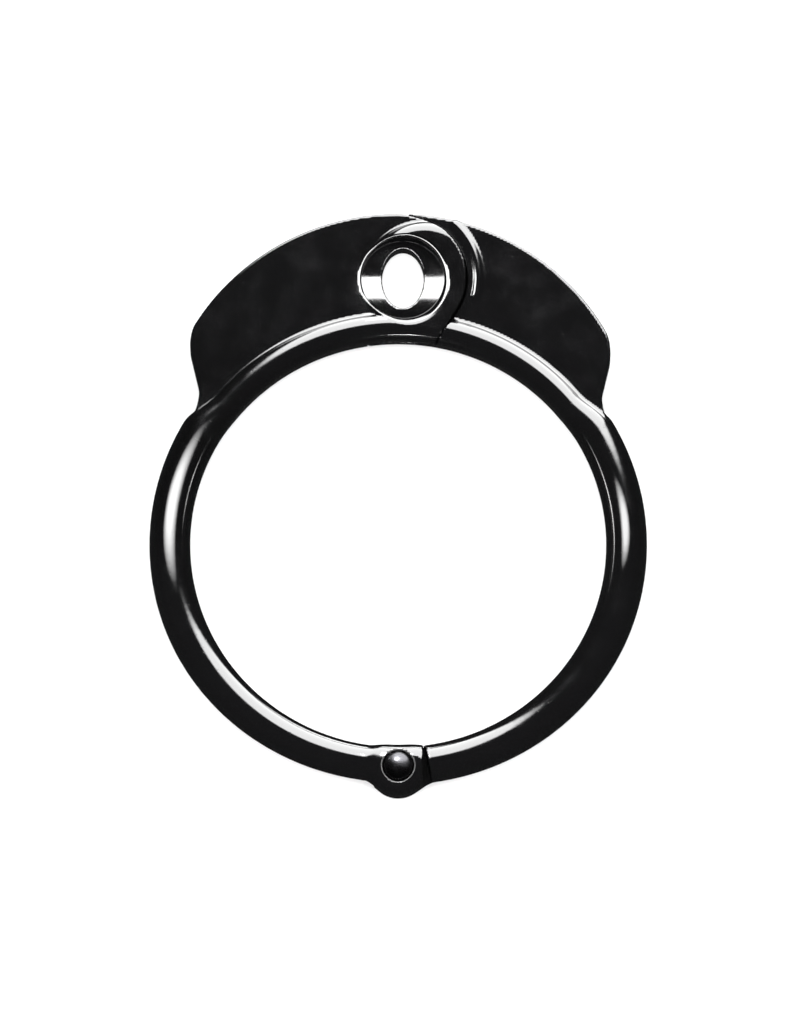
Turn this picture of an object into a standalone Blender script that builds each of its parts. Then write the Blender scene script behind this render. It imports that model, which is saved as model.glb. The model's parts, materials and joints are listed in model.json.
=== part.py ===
"""Hinged locking ring: two cast half rings, a rivet hinge and a lapped, counterbored lock seat.

The ring lies flat with its axis along +Z and its lock seat towards +Y. The origin is at the
bottom centre of the closed ring's bounding box. All sizes are in metres.
"""

import math

import bmesh
import bpy
from mathutils import Matrix, Vector

MM = 0.001
GAP = 0.3 * MM                       # clearance between neighbouring pieces

# Ring bar
RING_INNER_RADIUS = 31.0 * MM
BAR_HALF_SIZE = 3.05 * MM            # round section at the sides of the ring
LEFT_BAR_HALF_SIZE_AT_HINGE = 2.65 * MM
RIGHT_BAR_HALF_SIZE_AT_HINGE = 2.82 * MM
HINGE_TAPER_DEG = 75.0               # the bar reaches full size this far round from the hinge
RIDGE_HALF_WIDTH = 2.15 * MM         # beside the tabs the bar is narrower, and as tall
RIDGE_START_DEG = 30.0               # from here to RIDGE_FULL_DEG above the sides it narrows
RIDGE_FULL_DEG = 40.0
MID_Z = BAR_HALF_SIZE                # the ring rests on z = 0

# Tabs: one flat plate outline over the top of the ring, later split at the lap
TAB_HALF_THICKNESS = 1.95 * MM
TAB_ARC_CENTRE_Y = 15.0 * MM         # from the ring's centre
TAB_ARC_RADIUS = 35.65 * MM
LEFT_TAB_NOTCH = (-29.6 * MM, 23.2 * MM)
RIGHT_TAB_NOTCH = (30.4 * MM, 22.6 * MM)
TAB_END_TILT_DEG = 13.5
TAB_CORNER_RADIUS = 3.0 * MM
TAB_EDGE_ROUNDING = 0.7 * MM
TAB_TAIL_DEG = 26.0                  # below its notch the plate tails away inside the bar
TAB_TAIL_RADIUS = 36.2 * MM

# Lock seat
LOCK_X = 0.7 * MM                    # from the ring's centre
LOCK_Y = 40.5 * MM
LOCK_BORE_RADIUS = 6.2 * MM
LOCK_SEAT_RADIUS = 6.0 * MM         # a shallow flat, sunk into the lower layer
LOCK_SEAT_DEPTH = 0.05 * MM
LOCK_SLOT_HALF_WIDTH = 3.15 * MM
LOCK_SLOT_HALF_LENGTH = 4.55 * MM
BEAD_CREST_RADIUS = 7.05 * MM
LAP_END_RADIUS = 9.5 * MM
LAP_LOWER_TANGENT_DEG = -33.0
LAP_UPPER_TANGENT_DEG = 75.0
SHOULDER_BEAD_RADIUS = 11.3 * MM
SHOULDER_BEAD_HALF_WIDTH = 1.45 * MM
SHOULDER_BEAD_HEIGHT = 0.8 * MM      # above the tab's face
SHOULDER_BEAD_FROM_DEG = -42.0
SHOULDER_BEAD_TO_DEG = 36.0

# Hinge
PIN_RADIUS_FROM_CENTRE = 34.3 * MM
KNUCKLE_RADIUS = 4.3 * MM
KNUCKLE_HALF_HEIGHT = 2.75 * MM
KNUCKLE_EDGE_ROUNDING = 1.1 * MM
LUG_END_X = 3.65 * MM
SHOULDER_INNER_POINT = (3.95 * MM, 3.3 * MM)     # from the pin
SHOULDER_OUTER_POINT = (5.1 * MM, -2.4 * MM)
RIVET_HEAD_RADIUS = 2.2 * MM
RIVET_SHANK_RADIUS = 1.2 * MM
RIVET_TOP_Z = 6.4 * MM
RIVET_BOTTOM_Z = 0.05 * MM
SPOT_FACE_RADIUS = 2.6 * MM
UPPER_SPOT_FACE_Z = 4.9 * MM
LOWER_SPOT_FACE_Z = 1.2 * MM

# The closed ring's box is centred on the origin in Y.
RING_Y = 0.5 * (PIN_RADIUS_FROM_CENTRE + KNUCKLE_RADIUS - TAB_ARC_CENTRE_Y - TAB_ARC_RADIUS)
PIN_Y = RING_Y - PIN_RADIUS_FROM_CENTRE
FAR = 60.0 * MM                      # cutters run this far out
LAP_LOW_Z = MID_Z - 0.5 * GAP        # top of the lower layer
LAP_HIGH_Z = MID_Z + 0.5 * GAP       # underside of the upper layer


def clear_scene():
    for obj in list(bpy.data.objects):
        bpy.data.objects.remove(obj, do_unlink=True)


def new_collection(name):
    collection = bpy.data.collections.get(name) or bpy.data.collections.new(name)
    if name not in bpy.context.scene.collection.children:
        bpy.context.scene.collection.children.link(collection)
    return collection


def metal(name, colour, roughness):
    material = bpy.data.materials.new(name)
    material.use_nodes = True
    shader = material.node_tree.nodes["Principled BSDF"]
    shader.inputs["Base Color"].default_value = (*colour, 1.0)
    shader.inputs["Metallic"].default_value = 1.0
    shader.inputs["Roughness"].default_value = roughness
    return material


def add_object(name, mesh, collection):
    obj = bpy.data.objects.new(name, mesh)
    collection.objects.link(obj)
    return obj


def adopt(obj, name, collection):
    """Name an object made by an operator and move it to the given collection."""
    obj.name = name
    for owner in list(obj.users_collection):
        owner.objects.unlink(obj)
    collection.objects.link(obj)
    return obj


def applied_mesh(obj):
    """A plain welded mesh of the object as evaluated, with its place in the mesh."""
    bpy.context.view_layer.update()
    evaluated = obj.evaluated_get(bpy.context.evaluated_depsgraph_get())
    mesh = bpy.data.meshes.new_from_object(evaluated)
    mesh.transform(obj.matrix_world)
    shape = bmesh.new()
    shape.from_mesh(mesh)
    bmesh.ops.remove_doubles(shape, verts=shape.verts, dist=0.001 * MM)
    bmesh.ops.recalc_face_normals(shape, faces=shape.faces)
    shape.to_mesh(mesh)
    shape.free()
    return mesh


def smoothstep(value):
    value = min(max(value, 0.0), 1.0)
    return value * value * (3.0 - 2.0 * value)


def arc(centre, radius, start_deg, end_deg, steps):
    """Points along an arc, both ends included."""
    points = []
    for step in range(steps + 1):
        angle = math.radians(start_deg + (end_deg - start_deg) * step / steps)
        points.append((centre[0] + radius * math.cos(angle), centre[1] + radius * math.sin(angle)))
    return points


def bar_section(angle_deg):
    """Half width and half height of the bar at an angle round the ring from +X."""
    from_hinge = abs((angle_deg + 90.0 + 180.0) % 360.0 - 180.0)
    on_left = math.cos(math.radians(angle_deg)) < 0.0
    at_hinge = LEFT_BAR_HALF_SIZE_AT_HINGE if on_left else RIGHT_BAR_HALF_SIZE_AT_HINGE
    half = at_hinge + (BAR_HALF_SIZE - at_hinge) * smoothstep(from_hinge / HINGE_TAPER_DEG)
    above_side = from_hinge - 90.0
    narrowing = smoothstep((above_side - RIDGE_START_DEG) / (RIDGE_FULL_DEG - RIDGE_START_DEG))
    return half + (RIDGE_HALF_WIDTH - half) * narrowing, half


def ring_bar(collection, stations=72, cap_steps=9):
    """The bar as a closed loft round the ring: a round section that becomes a tall one."""
    shape = bmesh.new()
    rings = []
    for station in range(stations):
        angle_deg = 360.0 * station / stations
        half_width, half_height = bar_section(angle_deg)
        outline = arc((0.0, half_height - half_width), half_width, 0.0, 180.0, cap_steps)
        outline += arc((0.0, half_width - half_height), half_width, 180.0, 360.0, cap_steps)
        if half_height - half_width < 0.01 * MM:
            # a round section: spread the points evenly, so that none coincide
            outline = arc((0.0, 0.0), half_width, 0.0, 360.0, len(outline))[:-1]
        radius = RING_INNER_RADIUS + half_width
        turn = Matrix.Rotation(math.radians(angle_deg), 4, "Z")
        ring = []
        for across, up in outline:
            place = turn @ Vector((radius + across, 0.0, MID_Z + up))
            ring.append(shape.verts.new(place + Vector((0.0, RING_Y, 0.0))))
        rings.append(ring)
    for station in range(stations):
        this_ring = rings[station]
        next_ring = rings[(station + 1) % stations]
        for index in range(len(this_ring)):
            after = (index + 1) % len(this_ring)
            shape.faces.new((this_ring[index], next_ring[index], next_ring[after], this_ring[after]))
    bmesh.ops.recalc_face_normals(shape, faces=shape.faces)
    mesh = bpy.data.meshes.new("ring_blank")
    shape.to_mesh(mesh)
    shape.free()
    return add_object("ring_blank", mesh, collection)


def prism(name, outline, low_z, high_z, collection, rounding=0.0):
    """A flat outline in the ring's own XY, given a thickness and rounded edges."""
    curve = bpy.data.curves.new(name, "CURVE")
    curve.dimensions = "2D"
    curve.fill_mode = "BOTH"
    curve.extrude = 0.5 * (high_z - low_z) - rounding
    curve.bevel_depth = rounding
    curve.bevel_resolution = 1
    curve.offset = -rounding
    spline = curve.splines.new("POLY")
    spline.points.add(len(outline) - 1)
    for point, (x, y) in zip(spline.points, outline):
        point.co = (x, y, 0.0, 1.0)
    spline.use_cyclic_u = True
    flat = add_object(name + "_outline", curve, collection)
    flat.location = (0.0, RING_Y, 0.5 * (low_z + high_z))
    solid = add_object(name, applied_mesh(flat), collection)
    bpy.data.objects.remove(flat, do_unlink=True)
    return solid


def rounded_tab_end(side, notch):
    """The corner arc of one tab end, from the end edge to the outer arc, in ring coordinates."""
    tilt = math.radians(TAB_END_TILT_DEG)
    along = Vector((side * math.sin(tilt), math.cos(tilt)))
    inward = Vector((-side * math.cos(tilt), math.sin(tilt)))
    arc_centre = Vector((0.0, TAB_ARC_CENTRE_Y))
    base = Vector(notch) + inward * TAB_CORNER_RADIUS - arc_centre
    reach = TAB_ARC_RADIUS - TAB_CORNER_RADIUS
    half_b = base.dot(along)
    distance = -half_b + math.sqrt(half_b * half_b - base.length_squared + reach * reach)
    corner = arc_centre + base + along * distance
    start = math.degrees(math.atan2(-inward.y, -inward.x))
    end = math.degrees(math.atan2(corner.y - arc_centre.y, corner.x - arc_centre.x))
    if side < 0.0:
        start %= 360.0
    return corner, start, end


def tab_tail(notch):
    """Points from a tab's notch down to where the plate is lost inside the round bar."""
    side = math.copysign(1.0, notch[0])
    start_deg = math.degrees(math.atan2(notch[1], abs(notch[0])))
    start_radius = math.hypot(*notch)
    steps = 4
    points = []
    for step in range(1, steps + 1):
        angle = math.radians(start_deg + (TAB_TAIL_DEG - start_deg) * step / steps)
        radius = start_radius + (TAB_TAIL_RADIUS - start_radius) * step / steps
        points.append((side * radius * math.cos(angle), radius * math.sin(angle)))
    return points


def tab_plate(collection):
    right_corner, right_start, right_end = rounded_tab_end(1.0, RIGHT_TAB_NOTCH)
    left_corner, left_start, left_end = rounded_tab_end(-1.0, LEFT_TAB_NOTCH)
    inner = RING_INNER_RADIUS + 0.5 * RIDGE_HALF_WIDTH
    outline = tab_tail(RIGHT_TAB_NOTCH)[::-1]
    outline.append(RIGHT_TAB_NOTCH)
    outline += arc(right_corner, TAB_CORNER_RADIUS, right_start, right_end, 5)
    outline += arc((0.0, TAB_ARC_CENTRE_Y), TAB_ARC_RADIUS, right_end, left_end, 30)[1:]
    outline += arc(left_corner, TAB_CORNER_RADIUS, left_end, left_start, 5)[1:]
    outline.append(LEFT_TAB_NOTCH)
    outline += tab_tail(LEFT_TAB_NOTCH)
    outline += arc((0.0, 0.0), inner, 180.0 - TAB_TAIL_DEG, TAB_TAIL_DEG, 28)
    low, high = MID_Z - TAB_HALF_THICKNESS, MID_Z + TAB_HALF_THICKNESS
    return prism("tab_plate", outline, low, high, collection, TAB_EDGE_ROUNDING)


def cylinder(name, radius, centre_xy, low_z, high_z, collection, vertices=32, stretch=1.0):
    bpy.ops.mesh.primitive_cylinder_add(vertices=vertices, radius=radius, depth=high_z - low_z)
    obj = adopt(bpy.context.active_object, name, collection)
    obj.data.transform(Matrix.Diagonal((1.0, stretch, 1.0, 1.0)))
    obj.location = (centre_xy[0], centre_xy[1], 0.5 * (low_z + high_z))
    return obj


def lock_bead(name, crest_z, collection):
    """The rounded rim round the lock: a torus with its crest at one face of the ring."""
    bpy.ops.mesh.primitive_torus_add(
        major_radius=BEAD_CREST_RADIUS, minor_radius=RIDGE_HALF_WIDTH, major_segments=40, minor_segments=14
    )
    bead = adopt(bpy.context.active_object, name, collection)
    inset = RIDGE_HALF_WIDTH if crest_z < MID_Z else -RIDGE_HALF_WIDTH
    bead.location = (LOCK_X, RING_Y + LOCK_Y, crest_z + inset)
    return bead


def shoulder_bead(name, side, collection):
    """The raised rim along one half's lap shoulder: on the right in front, on the left behind."""
    curve = bpy.data.curves.new(name, "CURVE")
    curve.dimensions = "3D"
    curve.bevel_depth = SHOULDER_BEAD_HALF_WIDTH
    curve.bevel_resolution = 2
    curve.use_fill_caps = True
    points = arc((0.0, 0.0), SHOULDER_BEAD_RADIUS, SHOULDER_BEAD_FROM_DEG, SHOULDER_BEAD_TO_DEG, 12)
    spline = curve.splines.new("POLY")
    spline.points.add(len(points) - 1)
    for point, (x, y) in zip(spline.points, points):
        point.co = (side * x, y, 0.0, 1.0)
    tube = add_object(name + "_path", curve, collection)
    crest = TAB_HALF_THICKNESS + SHOULDER_BEAD_HEIGHT
    tube.location = (LOCK_X, RING_Y + LOCK_Y, MID_Z + side * (crest - SHOULDER_BEAD_HALF_WIDTH))
    solid = add_object(name, applied_mesh(tube), collection)
    bpy.data.objects.remove(tube, do_unlink=True)
    return solid


def hinge_knuckle(collection):
    low, high = MID_Z - KNUCKLE_HALF_HEIGHT, MID_Z + KNUCKLE_HALF_HEIGHT
    knuckle = cylinder("knuckle", KNUCKLE_RADIUS, (0.0, PIN_Y), low, high, collection)
    inside = cylinder("inside_of_ring", RING_INNER_RADIUS + GAP, (0.0, RING_Y), -FAR, FAR, collection, 96)
    boolean(knuckle, inside, "DIFFERENCE")
    trimmed = add_object("knuckle_trimmed", applied_mesh(knuckle), collection)
    bpy.data.objects.remove(inside, do_unlink=True)
    bpy.data.objects.remove(knuckle, do_unlink=True)
    knuckle = trimmed
    bevel = knuckle.modifiers.new("rounded edges", "BEVEL")
    bevel.width = KNUCKLE_EDGE_ROUNDING
    bevel.segments = 3
    bevel.limit_method = "ANGLE"
    bevel.angle_limit = math.radians(50.0)
    return knuckle


def boolean(target, other, operation):
    modifier = target.modifiers.new(operation.lower() + " " + other.name, "BOOLEAN")
    modifier.operation = operation
    modifier.solver = "EXACT"
    modifier.object = other
    return modifier


def ring_blank(collection):
    """The whole ring as one solid, before it is split into two halves."""
    blank = ring_bar(collection)
    lock = (LOCK_X, RING_Y + LOCK_Y)
    inset = 0.1 * MM
    pieces = [
        tab_plate(collection),
        cylinder("lock_core", BEAD_CREST_RADIUS, lock, inset, 2.0 * MID_Z - inset, collection, 40),
        lock_bead("front_bead", 2.0 * MID_Z, collection),
        lock_bead("back_bead", 0.0, collection),
        shoulder_bead("front_shoulder_bead", 1.0, collection),
        shoulder_bead("back_shoulder_bead", -1.0, collection),
        hinge_knuckle(collection),
    ]
    for piece in pieces:
        boolean(blank, piece, "UNION")
    mesh = applied_mesh(blank)
    for piece in pieces + [blank]:
        bpy.data.objects.remove(piece, do_unlink=True)
    return mesh


def split_outline(bulge, region, end_radius, lug_line):
    """The region on one side of a lap line, as an outline in ring coordinates.

    The line runs down round the lock, bulging to the side of the sign of bulge, to the ring's
    inner edge, and on through the hinge along lug_line, whose points are offsets from the pin.
    The region lies to the side of the sign of region.
    """
    upper = math.radians(LAP_UPPER_TANGENT_DEG)
    lower = math.radians(LAP_LOWER_TANGENT_DEG)
    run = 8.0 * MM
    line = [(-2.0 * run, FAR - LOCK_Y)]
    line.append((
        end_radius * math.cos(upper) - run * math.sin(upper),
        end_radius * math.sin(upper) + run * math.cos(upper),
    ))
    line += arc((0.0, 0.0), end_radius, LAP_UPPER_TANGENT_DEG, LAP_LOWER_TANGENT_DEG, 18)
    line.append((
        end_radius * math.cos(lower) + run * math.sin(lower),
        end_radius * math.sin(lower) - run * math.cos(lower),
    ))
    points = [(region * FAR, FAR)]
    for x, y in line:
        points.append((LOCK_X + bulge * x, LOCK_Y + y))
    for x, y in lug_line:
        points.append((bulge * x, y - PIN_RADIUS_FROM_CENTRE))
    points.append((bulge * lug_line[-1][0], -FAR))
    points.append((region * FAR, -FAR))
    return points


def shoulder_line():
    """The slanted shoulder beside the hinge, run on past both edges of the bar."""
    inner, outer = Vector(SHOULDER_INNER_POINT), Vector(SHOULDER_OUTER_POINT)
    step = outer - inner
    return [tuple(inner - step), tuple(outer + step)]


def lug_end_line():
    return [(LUG_END_X, 8.0 * MM), (LUG_END_X, -8.0 * MM)]


def cut(obj, cutter):
    cutter.hide_render = True
    cutter.display_type = "WIRE"
    boolean(obj, cutter, "DIFFERENCE")


def half_ring(name, side, blank_mesh, material, parts, cutters):
    """One half of the ring, cut from the blank: side -1 is the left half, side 1 the right.

    The left half's lug and tab are the upper layers at the hinge and at the lock, and the right
    half's are the lower ones. Each half is relieved in the other's layer, a gap clear of it.
    """
    half = add_object(name, blank_mesh.copy(), parts)
    half.data.name = name
    half.data.materials.clear()
    half.data.materials.append(material)
    own_end = split_outline(-side, -side, LAP_END_RADIUS, lug_end_line())
    cut(half, prism(name + "_end_cut", own_end, -FAR, FAR, cutters))
    relief = split_outline(side, -side, LAP_END_RADIUS + GAP, shoulder_line())
    low, high = (-FAR, LAP_HIGH_Z) if side < 0.0 else (LAP_LOW_Z, FAR)
    cut(half, prism(name + "_lap_cut", relief, low, high, cutters))
    pin_hole = RIVET_SHANK_RADIUS + GAP
    cut(half, cylinder(name + "_pin_hole", pin_hole, (0.0, PIN_Y), -FAR, FAR, cutters, 24))
    return half


def left_half_ring(blank_mesh, material, parts, cutters):
    half = half_ring("left_half_ring", -1.0, blank_mesh, material, parts, cutters)
    lock = (LOCK_X, RING_Y + LOCK_Y)
    cut(half, cylinder("lock_counterbore", LOCK_BORE_RADIUS, lock, MID_Z, FAR, cutters, 40))
    pin = (0.0, PIN_Y)
    cut(half, cylinder("upper_spot_face", SPOT_FACE_RADIUS, pin, UPPER_SPOT_FACE_Z, FAR, cutters))
    return half


def right_half_ring(blank_mesh, material, parts, cutters):
    half = half_ring("right_half_ring", 1.0, blank_mesh, material, parts, cutters)
    lock = (LOCK_X, RING_Y + LOCK_Y)
    stretch = LOCK_SLOT_HALF_LENGTH / LOCK_SLOT_HALF_WIDTH
    cut(half, cylinder("lock_slot", LOCK_SLOT_HALF_WIDTH, lock, -FAR, FAR, cutters, 40, stretch))
    seat_z = LAP_LOW_Z - LOCK_SEAT_DEPTH
    cut(half, cylinder("lock_seat", LOCK_SEAT_RADIUS, lock, seat_z, FAR, cutters, 40))
    pin = (0.0, PIN_Y)
    cut(half, cylinder("lower_spot_face", SPOT_FACE_RADIUS, pin, -FAR, LOWER_SPOT_FACE_Z, cutters))
    return half


def hinge_rivet(material, parts):
    """A domed rivet, turned about the hinge axis: head on top, closing head underneath."""
    steps = 7
    upper_rim = UPPER_SPOT_FACE_Z + GAP
    lower_rim = LOWER_SPOT_FACE_Z - GAP
    profile = []
    for step in range(steps + 1):
        angle = math.radians(90.0 * step / steps)
        rise = (RIVET_TOP_Z - upper_rim) * math.cos(angle)
        profile.append((RIVET_HEAD_RADIUS * math.sin(angle), upper_rim + rise))
    profile.append((RIVET_SHANK_RADIUS, upper_rim))
    profile.append((RIVET_SHANK_RADIUS, lower_rim))
    for step in range(steps + 1):
        angle = math.radians(90.0 * step / steps)
        drop = (lower_rim - RIVET_BOTTOM_Z) * math.sin(angle)
        profile.append((RIVET_HEAD_RADIUS * math.cos(angle), lower_rim - drop))
    shape = bmesh.new()
    vertices = [shape.verts.new((x if x > 0.001 * MM else 0.0, 0.0, z)) for x, z in profile]
    for first, second in zip(vertices, vertices[1:]):
        shape.edges.new((first, second))
    mesh = bpy.data.meshes.new("hinge_rivet")
    shape.to_mesh(mesh)
    shape.free()
    mesh.materials.append(material)
    rivet = add_object("hinge_rivet", mesh, parts)
    rivet.location = (0.0, PIN_Y, 0.0)
    screw = rivet.modifiers.new("turned", "SCREW")
    screw.axis = "Z"
    screw.steps = 32
    screw.render_steps = 32
    screw.use_merge_vertices = True
    screw.merge_threshold = 0.001 * MM
    screw.use_smooth_shade = True
    return rivet


def main():
    clear_scene()
    parts = new_collection("hinged_locking_ring")
    cutters = new_collection("cutters")
    black_plate = metal("black_plated_casting", (0.02, 0.02, 0.022), 0.12)
    dark_steel = metal("dark_rivet_steel", (0.25, 0.25, 0.26), 0.25)
    blank_mesh = ring_blank(parts)
    left_half_ring(blank_mesh, black_plate, parts, cutters)
    right_half = right_half_ring(blank_mesh, black_plate, parts, cutters)
    hinge_rivet(dark_steel, parts)
    bpy.data.meshes.remove(blank_mesh)
    # the moving half has its origin on the hinge axis
    hinge = Vector((0.0, PIN_Y, MID_Z))
    right_half.data.transform(Matrix.Translation(-hinge))
    right_half.location = hinge


main()
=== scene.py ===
"""Finished look of a hinged locking ring: two glossy black castings and a domed hinge rivet."""
import json
import math

import bmesh
import bpy
import numpy as np
from bpy.props import FloatProperty, FloatVectorProperty, IntProperty, PointerProperty
from mathutils import Matrix, Vector


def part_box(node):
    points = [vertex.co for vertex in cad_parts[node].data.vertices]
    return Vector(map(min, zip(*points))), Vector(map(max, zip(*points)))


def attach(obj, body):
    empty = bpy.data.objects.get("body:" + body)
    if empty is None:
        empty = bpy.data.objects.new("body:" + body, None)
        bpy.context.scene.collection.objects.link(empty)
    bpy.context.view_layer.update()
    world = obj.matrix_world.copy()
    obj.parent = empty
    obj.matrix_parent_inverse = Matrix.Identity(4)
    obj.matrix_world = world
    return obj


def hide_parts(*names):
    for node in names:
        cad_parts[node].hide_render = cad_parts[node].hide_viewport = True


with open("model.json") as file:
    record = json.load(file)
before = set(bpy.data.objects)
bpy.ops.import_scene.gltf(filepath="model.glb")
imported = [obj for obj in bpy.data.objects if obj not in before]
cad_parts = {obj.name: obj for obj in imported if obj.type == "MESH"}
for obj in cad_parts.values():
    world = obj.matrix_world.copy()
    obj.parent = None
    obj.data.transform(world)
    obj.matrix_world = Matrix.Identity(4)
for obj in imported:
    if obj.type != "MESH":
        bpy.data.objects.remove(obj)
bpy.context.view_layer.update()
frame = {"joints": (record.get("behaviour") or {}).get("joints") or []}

bl_info = {
    "name": "Hinged Locking Ring",
    "version": (1, 0, 0),
    "blender": (4, 5, 0),
    "location": "View3D > Sidebar > Ring",
    "description": "Builds the castings, the hinge rivet and a studio for a hinged locking ring",
    "category": "Add Mesh",
}

HINGE = Vector(frame["joints"][0]["pos_m"])
LEFT_LOW, LEFT_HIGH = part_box("left_half_ring")
MID_Z = 0.5 * (LEFT_LOW[2] + LEFT_HIGH[2])
RIVET_LOW, RIVET_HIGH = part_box("hinge_rivet")
MM = 0.001


def length(name, description, default):
    return FloatProperty(
        name=name, description=description, default=default, min=0.0, unit="LENGTH", precision=5
    )


def degrees(name, description, default):
    return FloatProperty(
        name=name, description=description, default=math.radians(default), subtype="ANGLE", unit="ROTATION"
    )


class RingBarSizes(bpy.types.PropertyGroup):
    """Sizes of the round bar that the ring is made of."""
    inner_radius: length("Inner radius", "Radius of the ring's opening", 31.0 * MM)
    half_size: length("Bar half size", "Half the bar's thickness at the sides of the ring", MID_Z)
    left_hinge_half: length("Left at hinge", "Half the left bar's thickness beside the hinge", 2.65 * MM)
    right_hinge_half: length("Right at hinge", "Half the right bar's thickness beside the hinge", 2.82 * MM)
    taper_angle: degrees("Taper", "How far round from the hinge the bar keeps growing", 75.0)
    ridge_half_width: length("Ridge half width", "Half the bar's width where it runs beside a tab", 2.15 * MM)
    ridge_from: degrees("Ridge from", "Angle above the ring's side where the bar starts to narrow", 30.0)
    ridge_to: degrees("Ridge to", "Angle above the ring's side where the bar is at its narrowest", 40.0)


class TabSizes(bpy.types.PropertyGroup):
    """Sizes of the two flat tabs over the top of the ring."""
    half_thickness: length("Half thickness", "Half the tab plate's thickness", 1.95 * MM)
    arc_centre: length("Arc centre", "Height of the outer arc's centre over the ring's centre", 14.75 * MM)
    arc_radius: length("Arc radius", "Radius of the tabs' outer edge", 35.65 * MM)
    left_notch_x: length("Left notch across", "Distance of the left notch from the middle", 29.6 * MM)
    left_notch_y: length("Left notch height", "Height of the left tab's notch", 23.2 * MM)
    right_notch_x: length("Right notch across", "Distance of the right notch from the middle", 30.4 * MM)
    right_notch_y: length("Right notch height", "Height of the right tab's notch", 22.6 * MM)
    end_tilt: degrees("End tilt", "How far the tabs' ends lean out from upright", 13.5)
    corner_radius: length("Corner radius", "Rounding of the tabs' outer corners", 1.7 * MM)
    notch_radius: length("Notch radius", "Fillet where a tab's end meets the bar", 2.2 * MM)
    edge_radius: length("Edge radius", "Rounding of the plate's edges", 0.3 * MM)
    crease_radius: length("Crease radius", "Fillet between the plate and the raised rims", 0.3 * MM)


class LockSizes(bpy.types.PropertyGroup):
    """Sizes of the lock seat and of the lap between the tabs."""
    centre_x: length("Centre across", "Distance of the lock's axis from the ring's middle", 0.7 * MM)
    centre_y: length("Centre height", "Height of the lock's axis over the ring's centre", 40.5 * MM)
    bore_radius: length("Counterbore radius", "Radius of the round recess in the upper tab", 6.2 * MM)
    mouth_radius: length("Mouth rounding", "Rounding of the recess's mouth", 0.85 * MM)
    slot_half_width: length("Slot half width", "Half the width of the oval slot", 3.15 * MM)
    slot_half_length: length("Slot half length", "Half the length of the oval slot", 4.55 * MM)
    slot_rise: length("Slot rise", "How far the slot sits above the recess's axis", 0.4 * MM)
    boss_radius: length("Land radius", "Radius of the raised land round the recess", 9.2 * MM)
    boss_shift_x: length("Land shift across", "How far the land leans to the lap's round end", 3.2 * MM)
    boss_shift_y: length("Land shift down", "How far the land leans towards the ring's opening", 0.4 * MM)
    boss_edge: length("Land edge", "Rounding of the land's edge", 1.9 * MM)
    lap_radius: length("Lap radius", "Radius of a tab's round end", 9.5 * MM)
    lap_gap: length("Lap gap", "Clearance between the two halves", 0.14 * MM)
    lap_lower: degrees("Lap lower angle", "Where the round end turns into a straight cut, below", -33.0)
    lap_upper: degrees("Lap upper angle", "Where the round end turns into a straight cut, above", 75.0)
    shoulder_radius: length("Shoulder bead radius", "Radius of the raised rim along the shoulder", 11.3 * MM)
    shoulder_half: length("Shoulder bead half width", "Half the width of that rim", 0.8 * MM)
    shoulder_rise: length("Shoulder bead rise", "Height of that rim over the plate", 0.36 * MM)
    shoulder_from: degrees("Shoulder bead start", "Lower end of that rim", -14.0)
    shoulder_to: degrees("Shoulder bead end", "Upper end of that rim", 46.0)
    cut_radius: length("Cut edge radius", "Rounding of the edges where the halves part", 0.16 * MM)


class HingeSizes(bpy.types.PropertyGroup):
    """Sizes of the hinge knuckle and of the rivet through it."""
    pin_distance: length("Pin distance", "Distance of the hinge axis from the ring's centre", 34.3 * MM)
    knuckle_radius: length("Knuckle radius", "Outer radius of the knuckle", 4.3 * MM)
    knuckle_half: length("Knuckle half height", "Half the knuckle's height", 2.5 * MM)
    knuckle_edge: length("Knuckle rounding", "Rounding of the knuckle's edges", 1.7 * MM)
    knuckle_fillet: length("Knuckle fillet", "Fillet between the knuckle and the bar", 1.5 * MM)
    lug_end: length("Lug end", "Distance of a lug's squared end from the pin", 3.65 * MM)
    shoulder_in_x: length("Shoulder inner x", "Inner end of the slanted shoulder, across", 3.95 * MM)
    shoulder_in_y: length("Shoulder inner y", "Inner end of the slanted shoulder, above the pin", 3.3 * MM)
    shoulder_out_x: length("Shoulder outer x", "Outer end of the slanted shoulder, across", 5.1 * MM)
    shoulder_out_y: length("Shoulder outer y", "Outer end of the slanted shoulder, below the pin", 2.4 * MM)
    spot_radius: length("Spot face radius", "Radius of the round flats that the rivet sits on", 2.4 * MM)
    upper_spot: length("Upper spot face", "Height of the upper round flat", 4.9 * MM)
    lower_spot: length("Lower spot face", "Height of the lower round flat", 1.2 * MM)
    head_radius: length("Rivet head radius", "Radius of the rivet's heads", 2.12 * MM)
    shank_radius: length("Rivet shank radius", "Radius of the rivet's shank", 1.2 * MM)
    rivet_gap: length("Rivet gap", "Clearance round the rivet", 0.3 * MM)
    steps_round: IntProperty(name="Steps round", description="Facets round the rivet", default=96, min=12)
    dome_steps: IntProperty(name="Dome steps", description="Rows of facets on a dome", default=20, min=4)


class FinishColours(bpy.types.PropertyGroup):
    """Colours and gloss of the finishes."""
    plating: FloatVectorProperty(
        name="Black plating", description="Colour of the glossy plating",
        subtype="COLOR", size=3, min=0.0, max=1.0, default=(0.0035, 0.0035, 0.0038),
    )
    # the lighter grey on the rivet seat's rim is a painted highlight
    painted_rim_highlight: FloatVectorProperty(
        name="Painted rim highlight", description="Colour of the highlight painted on the rim of the rivet's seat",
        subtype="COLOR", size=3, min=0.0, max=1.0, default=(0.16, 0.16, 0.16),
    )
    rivet: FloatVectorProperty(
        name="Rivet steel", description="Colour of the rivet's dark steel",
        subtype="COLOR", size=3, min=0.0, max=1.0, default=(0.03, 0.03, 0.032),
    )
    paper: FloatVectorProperty(
        name="Floor", description="Colour of the pale floor",
        subtype="COLOR", size=3, min=0.0, max=1.0, default=(0.9, 0.9, 0.9),
    )


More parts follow.
